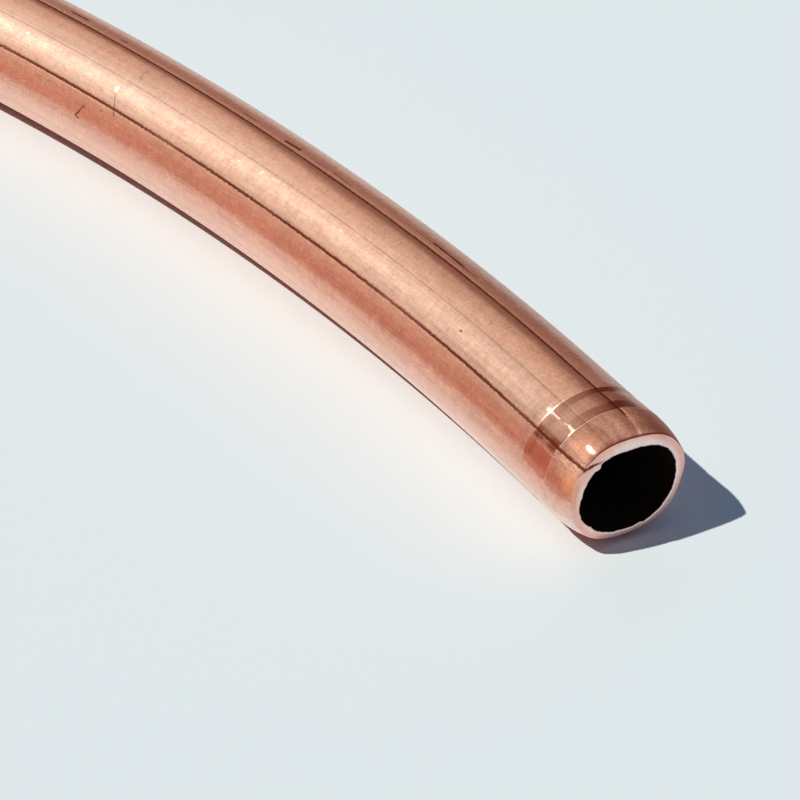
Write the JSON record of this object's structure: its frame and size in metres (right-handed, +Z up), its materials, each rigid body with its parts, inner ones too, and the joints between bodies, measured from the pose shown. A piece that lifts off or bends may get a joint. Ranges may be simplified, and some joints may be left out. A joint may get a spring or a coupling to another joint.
{
  "type": "copper tube coil",
  "caption": "Ring of soft copper water tube, coiled flat with its outer end sprung open and cut ready for a fitting.",
  "frame": {"origin": "on the floor, at the middle of the outermost half turn", "axes": "+Z up through the flat coil, -Y the way the outer end points, +X towards the side where the outer end has sprung open"},
  "size_m": [0.5901, 0.4948, 0.015],
  "materials": {
    "copper": null
  },
  "bodies": {
    "root": {"copper_tube": "copper"}
  },
  "joints": []
}
